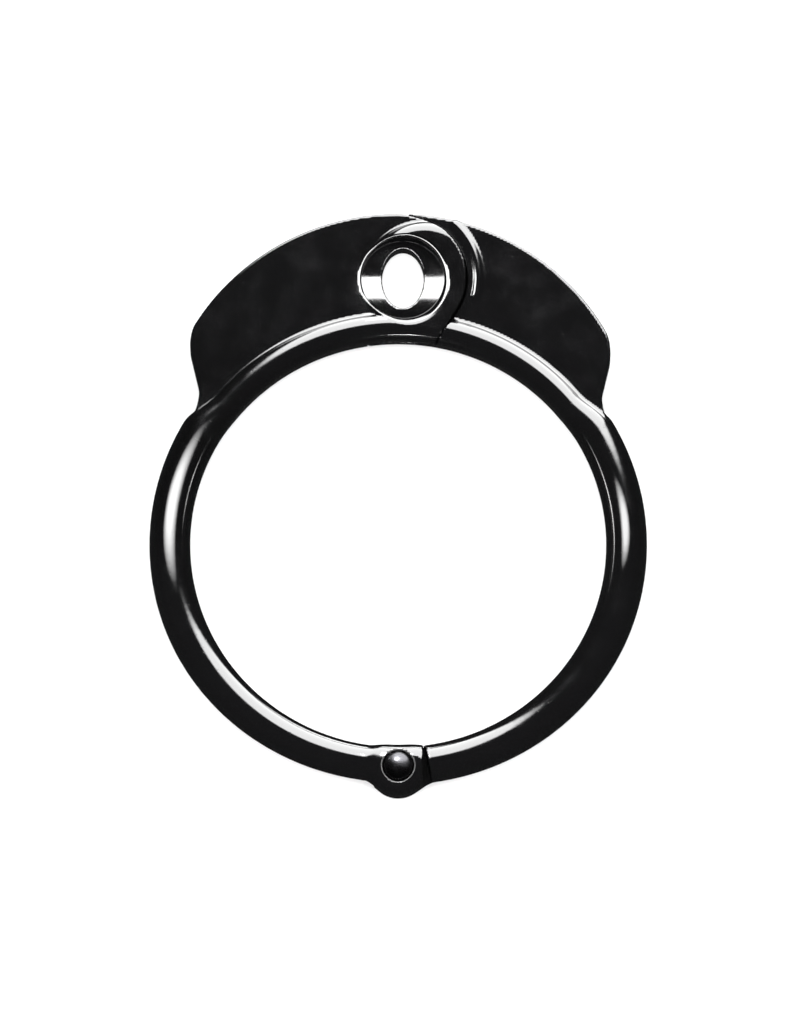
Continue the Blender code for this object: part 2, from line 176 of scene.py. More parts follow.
class RingSettings(bpy.types.PropertyGroup):
    """All of the ring's sizes and colours."""
    bar: PointerProperty(type=RingBarSizes)
    tab: PointerProperty(type=TabSizes)
    lock: PointerProperty(type=LockSizes)
    hinge: PointerProperty(type=HingeSizes)
    colours: PointerProperty(type=FinishColours)
    cell: length("Skin cell", "Spacing of the grid that the castings are skinned on", 0.25 * MM)


# ---------------------------------------------------------------------------------------------
# Solid shapes as distance fields: negative inside, positive outside, zero on the surface.
# They take coordinates from the ring's centre at the castings' mid-plane.

OPENING_SETBACK = 0.3 * MM      # the land and the knuckle stay this far back from the opening
KNUCKLE_BROW = 0.6 * MM         # rounding of the knuckle's edge along the opening
LAND_CREASE = 0.15 * MM         # fillet between the land and the bar
BLEND_LENGTH = 6.0 * MM         # stretch over which the bar changes size at the hinge
NOTCH_PLATE_WIDTH = 1.72        # width of the plate hidden in the bar, in bar half sizes
NOTCH_PLATE_START = 4.0         # height where that plate starts, in bar half sizes
MOUTH_TURN = math.radians(60.0)  # how far below the lap's side the recess's mouth is widest
MOUTH_LEAST = 0.55              # the mouth's rounding where it is narrowest, as a share
MOUTH_SWELL = 1.4               # how much it grows from there


def round_intersection(first, second, radius):
    """Where both solids are, with the edge between them rounded."""
    corner = np.hypot(np.maximum(first + radius, 0.0), np.maximum(second + radius, 0.0))
    return np.minimum(np.maximum(first, second), -radius) + corner


def round_union(first, second, radius):
    """Where either solid is, with a fillet in the corner between them."""
    corner = np.hypot(np.maximum(radius - first, 0.0), np.maximum(radius - second, 0.0))
    return np.maximum(np.minimum(first, second), radius) - corner


def smooth(value):
    value = np.clip(value, 0.0, 1.0)
    return value * value * (3.0 - 2.0 * value)


def bar_field(x, y, z, bar):
    """The bar round the ring: round at the sides, thinner at the hinge, a tall ridge at the tabs."""
    radius = np.hypot(x, y)
    angle = np.arctan2(y, x)
    from_hinge = np.abs((angle + 0.5 * math.pi + math.pi) % (2.0 * math.pi) - math.pi)
    # the two sides' sizes change over a short stretch at the hinge, so that no step shows
    side_blend = smooth(0.5 + x / BLEND_LENGTH)
    at_hinge = bar.left_hinge_half + (bar.right_hinge_half - bar.left_hinge_half) * side_blend
    half = at_hinge + (bar.half_size - at_hinge) * smooth(from_hinge / bar.taper_angle)
    above_side = from_hinge - 0.5 * math.pi
    narrowing = smooth((above_side - bar.ridge_from) / (bar.ridge_to - bar.ridge_from))
    half_width = half + (bar.ridge_half_width - half) * narrowing
    across = radius - bar.inner_radius - half_width
    up = np.maximum(np.abs(z) - (half - half_width), 0.0)
    return np.hypot(across, up) - half_width


def tab_end_line(x, y, side, notch_x, notch_y, tilt):
    """Distance beyond the straight end of the tab on one side."""
    return side * (x - side * notch_x) * math.cos(tilt) - (y - notch_y) * math.sin(tilt)


def tab_field(x, y, z, bar, tab):
    """The flat plate over the top of the ring, before it is split between the halves."""
    outline = np.hypot(x, y - tab.arc_centre) - tab.arc_radius
    for side, notch_x, notch_y in (
        (1.0, tab.right_notch_x, tab.right_notch_y),
        (-1.0, tab.left_notch_x, tab.left_notch_y),
    ):
        end = tab_end_line(x, y, side, notch_x, notch_y, tab.end_tilt)
        outline = round_intersection(outline, end, tab.corner_radius)
    radius = np.hypot(x, y)
    # an arc of plate inside the bar gives the notches their fillets
    inside_bar = np.maximum(
        radius - bar.inner_radius - NOTCH_PLATE_WIDTH * bar.half_size,
        NOTCH_PLATE_START * bar.half_size - y,
    )
    outline = round_union(outline, inside_bar, tab.notch_radius)
    outline = np.maximum(outline, bar.inner_radius + 0.5 * bar.ridge_half_width - radius)
    return round_intersection(outline, np.abs(z) - tab.half_thickness, tab.edge_radius)


def beyond_lock_line(x, y, bulge, radius, lock):
    """Distance beyond the lap line round the lock, which bulges to the side of the sign of bulge."""
    across = bulge * (x - lock.centre_x)
    up = y - lock.centre_y
    angle = np.clip(np.arctan2(up, across), lock.lap_lower, lock.lap_upper)
    return across * np.cos(angle) + up * np.sin(angle) - radius


def lock_boss_field(x, y, z, bar, lock):
    """The raised flat land round the lock, which leans towards the round end of the lap."""
    towards_lap = np.where(z < 0.0, -lock.boss_shift_x, lock.boss_shift_x)
    off_x = x - lock.centre_x - towards_lap
    off_y = y - lock.centre_y + lock.boss_shift_y
    wall = np.hypot(off_x, off_y) - lock.boss_radius
    wall = np.maximum(wall, bar.inner_radius + OPENING_SETBACK - np.hypot(x, y))
    land = round_intersection(wall, np.abs(z) - bar.half_size, lock.boss_edge)
    bulge = np.where(z < 0.0, -1.0, 1.0)
    return np.maximum(land, beyond_lock_line(x, y, bulge, lock.lap_radius, lock))


def shoulder_bead_field(x, y, z, side, tab, lock):
    """The raised rim along one shoulder of the lap: right half in front, left half behind."""
    across = side * (x - lock.centre_x)
    up = y - lock.centre_y
    angle = np.clip(np.arctan2(up, across), lock.shoulder_from, lock.shoulder_to)
    crest = tab.half_thickness + lock.shoulder_rise
    off_x = across - lock.shoulder_radius * np.cos(angle)
    off_y = up - lock.shoulder_radius * np.sin(angle)
    off_z = side * z - (crest - lock.shoulder_half)
    return np.sqrt(off_x * off_x + off_y * off_y + off_z * off_z) - lock.shoulder_half


def knuckle_field(x, y, z, bar, hinge):
    """The bulge round the hinge pin, flush with the ring's opening."""
    disc = np.hypot(x, y + hinge.pin_distance) - hinge.knuckle_radius
    in_opening = bar.inner_radius + OPENING_SETBACK - np.hypot(x, y)
    disc = round_intersection(disc, in_opening, KNUCKLE_BROW)
    return round_intersection(disc, np.abs(z) - hinge.knuckle_half, hinge.knuckle_edge)


def blank_field(x, y, z, settings):
    """The whole closed ring as one solid."""
    bar, tab, lock, hinge = settings.bar, settings.tab, settings.lock, settings.hinge
    ring = bar_field(x, y, z, bar)
    ring = round_union(ring, knuckle_field(x, y, z, bar, hinge), hinge.knuckle_fillet)
    rims = round_union(ring, lock_boss_field(x, y, z, bar, lock), LAND_CREASE)
    plate = tab_field(x, y, z, bar, tab)
    for side in (1.0, -1.0):
        plate = round_union(plate, shoulder_bead_field(x, y, z, side, tab, lock), tab.crease_radius)
    solid = round_union(rims, plate, tab.crease_radius)
    # the fillets may not rise over the bar's own thickness
    return np.maximum(solid, np.abs(z) - bar.half_size)


def beyond_shoulder_line(x, y, bulge, hinge):
    """Distance beyond the slanted shoulder beside the hinge."""
    inner = Vector((hinge.shoulder_in_x, hinge.shoulder_in_y))
    outer = Vector((hinge.shoulder_out_x, -hinge.shoulder_out_y))
    along = (outer - inner).normalized()
    return (bulge * x - inner.x) * -along.y + (y + hinge.pin_distance - inner.y) * along.x


def half_field(x, y, z, side, settings):
    """One half of the ring: side -1 is the left half, with the upper layers; side 1 the right."""
    lock, hinge = settings.lock, settings.hinge
    rounding = lock.cut_radius
    over_lock = y > 0.0
    own_end = np.where(
        over_lock,
        beyond_lock_line(x, y, -side, lock.lap_radius, lock),
        -side * x - hinge.lug_end,
    )
    kept_side = np.where(
        over_lock,
        -beyond_lock_line(x, y, side, lock.lap_radius + lock.lap_gap, lock),
        -beyond_shoulder_line(x, y, side, hinge),
    )
    # the neighbour's layer is removed up to its own line: above the lap for the right half
    layer = side * z + 0.5 * lock.lap_gap
    solid = blank_field(x, y, z, settings)
    from_axis = np.hypot(x - lock.centre_x, y - lock.centre_y)
    from_pin = np.hypot(x, y + hinge.pin_distance)
    if side < 0.0:
        # the recess's mouth is worn wider on the side towards the hinge and the lap's round end
        turn = np.arctan2(y - lock.centre_y, x - lock.centre_x)
        worn = np.maximum(np.cos(turn + MOUTH_TURN), 0.0) ** 2
        mouth = lock.mouth_radius * (MOUTH_LEAST + MOUTH_SWELL * worn)
        solid = round_intersection(solid, lock.bore_radius - from_axis, mouth)
        spot = np.minimum(hinge.spot_radius - from_pin, z - (hinge.upper_spot - MID_Z))
    else:
        spot = np.minimum(hinge.spot_radius - from_pin, (hinge.lower_spot - MID_Z) - z)
    solid = round_intersection(solid, own_end, rounding)
    solid = round_intersection(solid, np.minimum(kept_side, layer), rounding)
    solid = round_intersection(solid, spot, 0.6 * rounding)
    solid = np.maximum(solid, hinge.shank_radius + hinge.rivet_gap - from_pin)
    if side > 0.0:
        across = (x - lock.centre_x) / lock.slot_half_width
        up = (y - lock.centre_y - lock.slot_rise) / lock.slot_half_length
        level = np.hypot(across, up)
        slope = np.hypot(across / lock.slot_half_width, up / lock.slot_half_length)
        slot = level * (level - 1.0) / np.maximum(slope, 1.0)
        solid = round_intersection(solid, -slot, rounding)
    return solid


# ---------------------------------------------------------------------------------------------
# Skinning a field

def grid_axes(low, high, cell):
    return [np.arange(low[axis] - 2.5 * cell, high[axis] + 2.5 * cell, cell) for axis in range(3)]


def field_slope(field, points, step):
    """The field's gradient at points, as unit vectors, by central differences."""
    slope = np.empty_like(points)
    for axis in range(3):
        ahead = points.copy()
        behind = points.copy()
        ahead[:, axis] += step
        behind[:, axis] -= step
        slope[:, axis] = field(*ahead.T) - field(*behind.T)
    size = np.linalg.norm(slope, axis=1)
    return slope / np.maximum(size, 1e-12)[:, None], size / (2.0 * step)


def skin_cells(values, axes):
    """One point in every cell that the surface crosses, at the mean of its edge crossings."""
    inside = values < 0.0
    shape = np.array(values.shape) - 1
    total = np.zeros(tuple(shape) + (3,))
    count = np.zeros(tuple(shape))
    for axis in range(3):
        first = [slice(None)] * 3
        second = [slice(None)] * 3
        first[axis] = slice(0, -1)
        second[axis] = slice(1, None)
        a, b = values[tuple(first)], values[tuple(second)]
        crossing = inside[tuple(first)] != inside[tuple(second)]
        place = np.where(crossing, a / np.where(crossing, a - b, 1.0), 0.0)
        others = [other for other in range(3) if other != axis]
        for low in (0, 1):
            for high in (0, 1):
                window = [slice(None)] * 3
                window[others[0]] = slice(low, low + shape[others[0]])
                window[others[1]] = slice(high, high + shape[others[1]])
                hit = crossing[tuple(window)]
                count += hit
                total[..., axis] += place[tuple(window)]
                total[..., others[0]] += hit * low
                total[..., others[1]] += hit * high
    active = count > 0
    index = np.full(active.shape, -1, dtype=np.int64)
    index[active] = np.arange(active.sum())
    cells = np.argwhere(active)
    offsets = total[active] / count[active][:, None]
    cell = axes[0][1] - axes[0][0]
    starts = np.array([axis[0] for axis in axes])
    return starts + (cells + offsets) * cell, index


def skin_quads(values, index):
    """A four-sided face across every grid edge that the surface crosses, facing outwards."""
    inside = values < 0.0
    quads = []
    for axis in range(3):
        one, two = (axis + 1) % 3, (axis + 2) % 3
        first = [slice(1, -1)] * 3
        second = [slice(1, -1)] * 3
        first[axis] = slice(0, -1)
        second[axis] = slice(1, None)
        a, b = inside[tuple(first)], inside[tuple(second)]
        for starts_inside in (True, False):
            edges = np.argwhere((a != b) & (a == starts_inside))
            edges[:, one] += 1
            edges[:, two] += 1
            corners = []
            for shift_one, shift_two in ((-1, -1), (0, -1), (0, 0), (-1, 0)):
                cells = edges.copy()
                cells[:, one] += shift_one
                cells[:, two] += shift_two
                corners.append(index[tuple(cells.T)])
            quad = np.stack(corners if starts_inside else corners[::-1], axis=1)
            quads.append(quad)
    return np.concatenate(quads)


def skin(name, field, low, high, cell):
    """A mesh of the field's surface, each point moved onto it, with the field's own normals."""
    axes = grid_axes(low, high, cell)
    grid = np.meshgrid(*axes, indexing="ij")
    values = field(*grid)
    points, index = skin_cells(values, axes)
    quads = skin_quads(values, index)
    step = 0.02 * cell
    for _ in range(4):
        slope, steepness = field_slope(field, points, step)
        move = np.clip(field(*points.T) / np.maximum(steepness, 0.3), -0.5 * cell, 0.5 * cell)
        points = points - slope * move[:, None]
    normals, _ = field_slope(field, points, 0.12 * cell)
    mesh = bpy.data.meshes.new(name)
    mesh.vertices.add(len(points))
    mesh.vertices.foreach_set("co", points.astype(np.float32).ravel())
    mesh.loops.add(quads.size)
    mesh.loops.foreach_set("vertex_index", quads.astype(np.int32).ravel())
    mesh.polygons.add(len(quads))
    mesh.polygons.foreach_set("loop_start", np.arange(0, quads.size, 4, dtype=np.int32))
    mesh.polygons.foreach_set("use_smooth", np.ones(len(quads), dtype=bool))
    mesh.update(calc_edges=True)
    mesh.validate()
    mesh.normals_split_custom_set_from_vertices(normals.astype(np.float32))
    return mesh


def place_mesh(name, mesh, body):
    """A finished mesh, given in the CAD frame, as an object riding its body."""
    piece = bpy.data.objects.new(name, mesh)
    bpy.context.scene.collection.objects.link(piece)
    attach(piece, body)
    return piece


def build_half(name, side, settings, surface):
    """Skin one casting, give it its finish and let it stand in for its solid."""
    hinge = settings.hinge
    centre = Vector((0.0, HINGE.y + hinge.pin_distance, MID_Z))
    low, high = (Vector(corner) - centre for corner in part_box(name))
    mesh = skin(name, lambda x, y, z: half_field(x, y, z, side, settings), low, high, settings.cell)
    mesh.transform(Matrix.Translation(centre))
    mesh.materials.append(surface)
    body = "left_half" if side < 0.0 else "right_half"
    piece = place_mesh(name + "_skin", mesh, body)
    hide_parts(name)
    return piece


# ---------------------------------------------------------------------------------------------
# Materials

def node_maker(material):
    tree = material.node_tree

    def make(kind, **values):
        node = tree.nodes.new(kind)
        for key, value in values.items():
            if key.startswith("in_"):
                node.inputs[key[3:].replace("_", " ")].default_value = value
            else:
                setattr(node, key, value)
        return node

    return tree, make


def new_material(name):
    material = bpy.data.materials.new(name)
    material.use_nodes = True
    tree, make = node_maker(material)
    shader = tree.nodes["Principled BSDF"]
    place = make("ShaderNodeTexCoord")
    return material, tree, make, shader, place


def ramp(make, tree, source, low, high, from_value, to_value):
    """Map a value from one span to another, clamped."""
    node = make("ShaderNodeMapRange")
    node.inputs["From Min"].default_value = low
    node.inputs["From Max"].default_value = high
    node.inputs["To Min"].default_value = from_value
    node.inputs["To Max"].default_value = to_value
    tree.links.new(source, node.inputs["Value"])
    return node.outputs["Result"]


def noise(make, tree, place, scale, detail, roughness=0.5):
    node = make("ShaderNodeTexNoise", in_Scale=scale, in_Detail=detail, in_Roughness=roughness)
    tree.links.new(place.outputs["Object"], node.inputs["Vector"])
    return node.outputs["Fac"]


def rivet_seat_rim_highlight_mask(make, tree, place):
    """1 on the upper rim of the rivet's seat, where a lighter ring is painted on as a highlight, and 0
    elsewhere.
    """
    hinge = bpy.context.scene.hinged_ring.hinge
    from_pin = make("ShaderNodeVectorMath", operation="SUBTRACT")
    from_pin.inputs[1].default_value = (HINGE.x, HINGE.y, 0.0)
    tree.links.new(place.outputs["Object"], from_pin.inputs[0])
    flat = make("ShaderNodeVectorMath", operation="MULTIPLY")
    flat.inputs[1].default_value = (1.0, 1.0, 0.0)
    tree.links.new(from_pin.outputs["Vector"], flat.inputs[0])
    distance = make("ShaderNodeVectorMath", operation="LENGTH")
    tree.links.new(flat.outputs["Vector"], distance.inputs[0])
    level = make("ShaderNodeSeparateXYZ")
    tree.links.new(place.outputs["Object"], level.inputs["Vector"])
    rim = hinge.spot_radius
    outside = ramp(make, tree, distance.outputs["Value"], rim + 0.12 * MM, rim + 0.2 * MM, 1.0, 0.0)
    floor = hinge.upper_spot
    high = ramp(make, tree, level.outputs["Z"], floor + 0.1 * MM, floor + 0.3 * MM, 0.0, 1.0)
    both = make("ShaderNodeMath", operation="MULTIPLY")
    tree.links.new(outside, both.inputs[0])
    tree.links.new(high, both.inputs[1])
    return both.outputs["Value"]


def black_plating(colours):
    """Glossy black plating over a hand-polished casting: waves, haze, pinholes and a painted highlight on the
    rim of the rivet's seat.
    """
    material, tree, make, shader, place = new_material("black_plating")
    # a lighter grey mixed in on the rim of the rivet's seat: a painted highlight
    worn = make("ShaderNodeMixRGB")
    worn.inputs["Color1"].default_value = (*colours.plating, 1.0)
    worn.inputs["Color2"].default_value = (*colours.painted_rim_highlight, 1.0)
    tree.links.new(rivet_seat_rim_highlight_mask(make, tree, place), worn.inputs["Fac"])
    tree.links.new(worn.outputs["Color"], shader.inputs["Base Color"])
    shader.inputs["Metallic"].default_value = 0.0
    shader.inputs["IOR"].default_value = 1.55
    haze = noise(make, tree, place, 260.0, 4.0, 0.6)
    tree.links.new(ramp(make, tree, haze, 0.35, 0.72, 0.07, 0.15), shader.inputs["Roughness"])
    waves = noise(make, tree, place, 420.0, 2.0, 0.45)
    grain = noise(make, tree, place, 1700.0, 3.0, 0.6)
    pits = noise(make, tree, place, 2100.0, 1.0, 0.5)
    wave_bump = make("ShaderNodeBump", in_Strength=0.22, in_Distance=0.04 * MM)
    tree.links.new(waves, wave_bump.inputs["Height"])
    grain_bump = make("ShaderNodeBump", in_Strength=0.22, in_Distance=0.012 * MM)
    tree.links.new(grain, grain_bump.inputs["Height"])
    tree.links.new(wave_bump.outputs["Normal"], grain_bump.inputs["Normal"])
    pit_bump = make("ShaderNodeBump", in_Strength=0.3, in_Distance=0.012 * MM)
    tree.links.new(ramp(make, tree, pits, 0.22, 0.32, 0.0, 1.0), pit_bump.inputs["Height"])
    tree.links.new(grain_bump.outputs["Normal"], pit_bump.inputs["Normal"])
    tree.links.new(pit_bump.outputs["Normal"], shader.inputs["Normal"])
    return material


def dark_steel(colours):
    """Dark turned steel for the rivet, a little duller than the plating."""
    material, tree, make, shader, place = new_material("dark_rivet_steel")
    shader.inputs["Base Color"].default_value = (*colours.rivet, 1.0)
    shader.inputs["Metallic"].default_value = 1.0
    haze = noise(make, tree, place, 900.0, 3.0, 0.6)
    tree.links.new(ramp(make, tree, haze, 0.3, 0.75, 0.22, 0.36), shader.inputs["Roughness"])
    grain_bump = make("ShaderNodeBump", in_Strength=0.2, in_Distance=0.01 * MM)
    tree.links.new(noise(make, tree, place, 3200.0, 2.0), grain_bump.inputs["Height"])
    tree.links.new(grain_bump.outputs["Normal"], shader.inputs["Normal"])
    return material


def floor_paper(colours):
    material, tree, make, shader, place = new_material("floor_paper")
    shader.inputs["Base Color"].default_value = (*colours.paper, 1.0)
    shader.inputs["Roughness"].default_value = 0.9
    shader.inputs["Specular IOR Level"].default_value = 0.0
    return material


# ---------------------------------------------------------------------------------------------
# The rivet: a profile turned about the hinge axis by Geometry Nodes

def rivet_profile(hinge):
    """The rivet's outline from its top down: radius and height over the hinge's middle."""
    top, bottom = RIVET_HIGH[2] - MID_Z, RIVET_LOW[2] - MID_Z
    upper_rim = hinge.upper_spot - MID_Z + hinge.rivet_gap
    lower_rim = hinge.lower_spot - MID_Z - hinge.rivet_gap
    edge = 0.12 * MM
    points = []
    steps = hinge.dome_steps
    for rim, crown, order in ((upper_rim, top, 1), (lower_rim, bottom, -1)):
        sign = 1.0 if crown > rim else -1.0
        part = []
        for step in range(steps + 1):
            angle = 0.5 * math.pi * step / steps
            rise = (abs(crown - rim) - edge) * math.cos(angle)
            part.append((hinge.head_radius * math.sin(angle), rim + sign * (edge + rise)))
        part.append((hinge.head_radius, rim + sign * 0.3 * edge))
        part.append((hinge.head_radius - 0.7 * edge, rim))
        part.append((hinge.shank_radius, rim))
        points.extend(part[::order])
    return points


def turning_tree(name, surface):
    """Sweeps a profile round the Z axis; needs a profile mesh in the X-Z plane."""
    tree = bpy.data.node_groups.new(name, "GeometryNodeTree")
    tree.interface.new_socket("Profile", in_out="INPUT", socket_type="NodeSocketGeometry")
    steps = tree.interface.new_socket("Steps Round", in_out="INPUT", socket_type="NodeSocketInt")
    steps.default_value = 96
    tree.interface.new_socket("Turned", in_out="OUTPUT", socket_type="NodeSocketGeometry")
    add = tree.nodes.new
    source = add("NodeGroupInput")
    result = add("NodeGroupOutput")
    result.is_active_output = True
    # one narrow slice of the turned shape on every point, all of them at the axis
    at_axis = add("GeometryNodePoints")
    index = add("GeometryNodeInputIndex")
    slice_angle = add("ShaderNodeMath")
    slice_angle.operation = "DIVIDE"
    slice_angle.inputs[0].default_value = 2.0 * math.pi
    turn = add("ShaderNodeMath")
    turn.operation = "MULTIPLY"
    rotation = add("ShaderNodeCombineXYZ")
    as_rotation = add("FunctionNodeEulerToRotation")
    spin = add("GeometryNodeInstanceOnPoints")
    realize = add("GeometryNodeRealizeInstances")
    merge = add("GeometryNodeMergeByDistance")
    merge.inputs["Distance"].default_value = 0.002 * MM
    paint = add("GeometryNodeSetMaterial")
    paint.inputs["Material"].default_value = surface
    second_edge = add("GeometryNodeExtrudeMesh")
    second_edge.mode = "EDGES"
    second_edge.inputs["Offset Scale"].default_value = 0.0
    # the new edge's points are carried on to their places one step round
    carry = add("GeometryNodeSetPosition")
    position = add("GeometryNodeInputPosition")
    turned = add("ShaderNodeVectorRotate")
    turned.rotation_type = "Z_AXIS"
    link = tree.links.new
    link(source.outputs["Steps Round"], at_axis.inputs["Count"])
    link(source.outputs["Steps Round"], slice_angle.inputs[1])
    link(slice_angle.outputs["Value"], turned.inputs["Angle"])
    link(position.outputs["Position"], turned.inputs["Vector"])
    link(source.outputs["Profile"], second_edge.inputs["Mesh"])
    link(second_edge.outputs["Mesh"], carry.inputs["Geometry"])
    link(second_edge.outputs["Top"], carry.inputs["Selection"])
    link(turned.outputs["Vector"], carry.inputs["Position"])
    link(index.outputs["Index"], turn.inputs[0])
    link(slice_angle.outputs["Value"], turn.inputs[1])
    link(turn.outputs["Value"], rotation.inputs["Z"])
    link(rotation.outputs["Vector"], as_rotation.inputs["Euler"])
    link(at_axis.outputs["Points"], spin.inputs["Points"])
    link(carry.outputs["Geometry"], spin.inputs["Instance"])
    link(as_rotation.outputs["Rotation"], spin.inputs["Rotation"])
    link(spin.outputs["Instances"], realize.inputs["Geometry"])
    link(realize.outputs["Geometry"], merge.inputs["Geometry"])
    link(merge.outputs["Geometry"], paint.inputs["Geometry"])
    link(paint.outputs["Geometry"], result.inputs["Turned"])
    return tree


def set_input(modifier, name, value):
    for item in modifier.node_group.interface.items_tree:
        if item.item_type == "SOCKET" and item.in_out == "INPUT" and item.name == name:
            modifier[item.identifier] = value
            return
    raise KeyError(name)


def build_rivet(settings, surface):
    """Turn the rivet from its profile."""
    hinge = settings.hinge
    profile = rivet_profile(hinge)
    mesh = bpy.data.meshes.new("rivet_profile")
    points = [(x, 0.0, z) for x, z in profile]
    mesh.from_pydata(points, [(i, i + 1) for i in range(len(points) - 1)], [])
    blank = bpy.data.objects.new("rivet_profile", mesh)
    bpy.context.scene.collection.objects.link(blank)
    modifier = blank.modifiers.new("turned", "NODES")
    modifier.node_group = turning_tree("turn_profile", surface)
    set_input(modifier, "Steps Round", hinge.steps_round)
    graph = bpy.context.evaluated_depsgraph_get()
    solid = bpy.data.meshes.new_from_object(blank.evaluated_get(graph))
    bpy.data.objects.remove(blank)
    shape = bmesh.new()
    shape.from_mesh(solid)
    bmesh.ops.remove_doubles(shape, verts=shape.verts, dist=0.005 * MM)
    bmesh.ops.dissolve_degenerate(shape, edges=shape.edges, dist=0.001 * MM)
    bmesh.ops.recalc_face_normals(shape, faces=shape.faces)
    if shape.calc_volume(signed=True) < 0.0:
        bmesh.ops.reverse_faces(shape, faces=shape.faces)
    for edge in shape.edges:
        edge.smooth = len(edge.link_faces) == 2 and edge.calc_face_angle() < math.radians(38.0)
    for face in shape.faces:
        face.smooth = True
    shape.to_mesh(solid)
    shape.free()
    solid.transform(Matrix.Translation((HINGE.x, HINGE.y, MID_Z)))
    piece = place_mesh("hinge_rivet_turned", solid, "left_half")
    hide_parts("hinge_rivet")
    return piece


# ---------------------------------------------------------------------------------------------
# Studio

CAMERA_DISTANCE = 2.8
CAMERA_ELEVATION = 76.7         # degrees over the floor
CAMERA_LENS = 845.0             # millimetres, on a sensor 36 mm wide
CAMERA_SHIFT_RIGHT = 0.27 * MM  # from the ring's middle to the middle of the view
CAMERA_SHIFT_UP = 5.43 * MM
CARD_DISTANCE = 1.0
FLOOR_HALF = 1.5
SQUARE = ((-1.0, -1.0), (1.0, -1.0), (1.0, 1.0), (-1.0, 1.0))


def ring_middle(hinge):
    """The middle of the ring's opening, half way up the castings."""
    return Vector((0.0, HINGE.y + hinge.pin_distance, MID_Z))


def add_camera(hinge):
    """Looking down on the ring from its hinge side, from far enough away for a flat perspective."""
    data = bpy.data.cameras.new("camera")
    data.sensor_fit = "HORIZONTAL"
    data.sensor_width = 36.0
    data.lens = CAMERA_LENS
    data.clip_start = 0.01
    data.clip_end = 10.0
    camera = bpy.data.objects.new("camera", data)
    bpy.context.scene.collection.objects.link(camera)
    elevation = math.radians(CAMERA_ELEVATION)
    back = Vector((0.0, -math.cos(elevation), math.sin(elevation)))
    up = Vector((0.0, math.sin(elevation), math.cos(elevation)))
    aim = ring_middle(hinge) + Vector((CAMERA_SHIFT_RIGHT, 0.0, 0.0)) + up * CAMERA_SHIFT_UP
    camera.location = aim + back * CAMERA_DISTANCE
    camera.rotation_euler = back.to_track_quat("Z", "Y").to_euler()
    bpy.context.scene.camera = camera


def add_glow(name, placed, half_w, half_h, strength, soft=0.0, lights_only=False, square=False):
    """A glowing card that the camera doesn't see: oval with a soft edge, or a crisp square one."""
    steps = 64
    turns = [2.0 * math.pi * step / steps for step in range(steps)]
    outline = SQUARE if square else [(math.cos(turn), math.sin(turn)) for turn in turns]
    corners = [(x * half_w, y * half_h, 0.0) for x, y in outline]
    mesh = bpy.data.meshes.new(name)
    mesh.from_pydata(corners, [], [tuple(range(len(corners)))])
    card = bpy.data.objects.new(name, mesh)
    bpy.context.scene.collection.objects.link(card)
    card.matrix_world = placed
    material = bpy.data.materials.new(name)
    material.use_nodes = True
    tree, make = node_maker(material)
    tree.nodes.clear()
    glow = make("ShaderNodeEmission", in_Strength=strength)
    result = make("ShaderNodeOutputMaterial")
    tree.links.new(glow.outputs["Emission"], result.inputs["Surface"])
    if not square:
        place = make("ShaderNodeTexCoord")
        scaled = make("ShaderNodeVectorMath", operation="DIVIDE")
        scaled.inputs[1].default_value = (half_w, half_h, 1.0)
        inward = make("ShaderNodeTexGradient", gradient_type="SPHERICAL")
        tree.links.new(place.outputs["Object"], scaled.inputs[0])
        tree.links.new(scaled.outputs["Vector"], inward.inputs["Vector"])
        level = ramp(make, tree, inward.outputs["Fac"], 0.0, soft, 0.0, strength)
        tree.links.new(level, glow.inputs["Strength"])
    mesh.materials.append(material)
    card.visible_camera = False
    card.visible_glossy = not lights_only
    card.visible_diffuse = lights_only
    return card


def add_card(name, middle, across, up, width, height, strength, soft, lights_only=False):
    """A card a metre off, placed and sized by angles as seen from the ring's middle.

    across and up are how far it leans from overhead, to the right and away from the hinge.
    """
    lean = Vector((math.radians(across), math.radians(up)))
    tilt = lean.length
    flat = lean.normalized() if tilt > 0.0 else Vector((0.0, 1.0))
    direction = Vector((flat.x * math.sin(tilt), flat.y * math.sin(tilt), math.cos(tilt)))
    right = Vector((1.0, 0.0, 0.0))
    right = (right - direction * right.dot(direction)).normalized()
    placed = Matrix((right, direction.cross(right), direction)).transposed().to_4x4()
    placed.translation = middle + direction * CARD_DISTANCE
    half_w = CARD_DISTANCE * math.tan(math.radians(0.5 * width))
    half_h = CARD_DISTANCE * math.tan(math.radians(0.5 * height))
    return add_glow(name, placed, half_w, half_h, strength, soft, lights_only)


